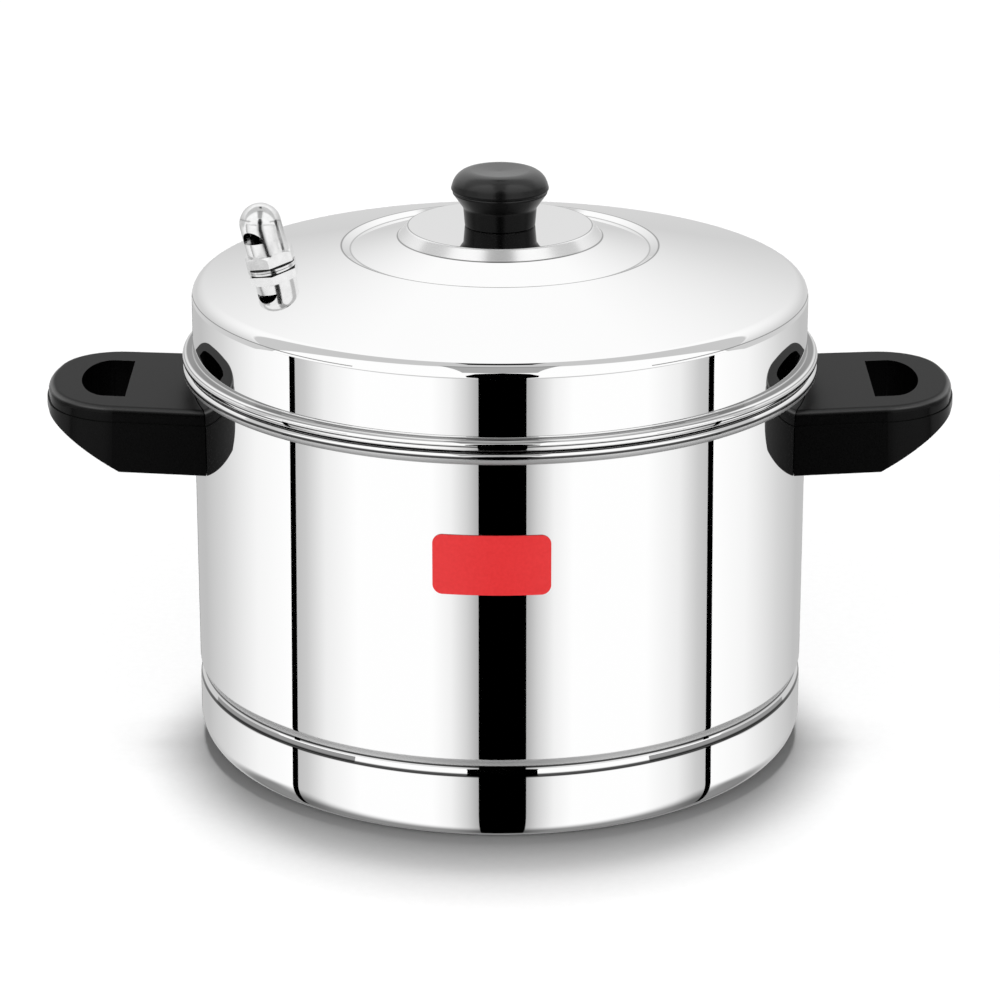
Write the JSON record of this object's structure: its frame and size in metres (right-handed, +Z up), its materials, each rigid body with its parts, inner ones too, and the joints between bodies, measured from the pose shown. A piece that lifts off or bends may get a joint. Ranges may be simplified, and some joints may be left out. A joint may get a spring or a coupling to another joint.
{
  "type": "idli steamer",
  "caption": "Polished steel steaming pot with moulded side handles, a stepped lid with knob and steam whistle, and a lift-out rack of idli plates with dished wells on a central rod.",
  "frame": {"origin": "middle of the pot's flat underside, on the surface that it stands on", "axes": "+X along the line of the two handles, to the right as seen from the label; -Y towards the label; +Z up along the pot's axis"},
  "size_m": [0.3408, 0.238, 0.2215],
  "materials": {
    "polished_steel": "stainless steel sheet, mirror polished",
    "rack_steel": "stainless steel, satin from the press and lathe",
    "phenolic": "black phenolic moulding, satin with a fine grain",
    "plated_brass": "brass turning, nickel plated and polished",
    "brass": "plain turned brass",
    "fastener_steel": "zinc plated steel fastener",
    "gasket_rubber": "black nitrile rubber washer",
    "label_vinyl": "plain red vinyl label, blank"
  },
  "bodies": {
    "pot": {"pot_body": "polished_steel", "front_label": "label_vinyl", "right_handle": "phenolic", "right_handle_boss": "fastener_steel", "right_handle_screw": "fastener_steel", "right_handle_washer": "fastener_steel", "left_handle": "phenolic", "left_handle_boss": "fastener_steel", "left_handle_screw": "fastener_steel", "left_handle_washer": "fastener_steel"},
    "lid": {"lid_shell": "polished_steel", "lid_knob": "phenolic", "knob_insert": "brass", "knob_screw": "fastener_steel", "knob_washer": "fastener_steel", "vent_cap": "plated_brass", "vent_base": "plated_brass", "vent_flange": "plated_brass", "vent_gasket": "gasket_rubber", "vent_washer": "fastener_steel", "vent_locknut": "plated_brass"},
    "rack": {"rack_foot": "rack_steel", "rack_rod": "rack_steel", "plate_spacer_1": "rack_steel", "plate_spacer_2": "rack_steel", "plate_spacer_3": "rack_steel", "plate_spacer_4": "rack_steel"},
    "plate_1": {"idli_plate_1": "rack_steel"},
    "plate_2": {"idli_plate_2": "rack_steel"},
    "plate_3": {"idli_plate_3": "rack_steel"},
    "plate_4": {"idli_plate_4": "rack_steel"},
    "nut": {"lifting_nut": "rack_steel"}
  },
  "joints": [
    {"name": "lid_lift", "type": "slide", "parent": "pot", "child": "lid", "axis": [0, 0, 1], "range_m": [0, 0.34]},
    {"name": "rack_lift", "type": "slide", "parent": "pot", "child": "rack", "axis": [0, 0, 1], "range_m": [0, 0.17]},
    {"name": "plate_1_turn", "type": "hinge", "parent": "rack", "child": "plate_1", "pos_m": [0, 0, 0.04873], "axis": [0, 0, 1], "continuous": true},
    {"name": "plate_2_turn", "type": "hinge", "parent": "rack", "child": "plate_2", "pos_m": [0, 0, 0.08475], "axis": [0, 0, 1], "continuous": true},
    {"name": "plate_3_turn", "type": "hinge", "parent": "rack", "child": "plate_3", "pos_m": [0, 0, 0.12078], "axis": [0, 0, 1], "continuous": true},
    {"name": "plate_4_turn", "type": "hinge", "parent": "rack", "child": "plate_4", "pos_m": [0, 0, 0.1568], "axis": [0, 0, 1], "continuous": true},
    {"name": "nut_turn", "type": "hinge", "parent": "rack", "child": "nut", "pos_m": [0, 0, 0.1568], "axis": [0, 0, 1], "continuous": true}
  ],
  "couplings": [
    {"joint": "rack_lift", "follows": "lid_lift", "ratio": 0.5}
  ]
}
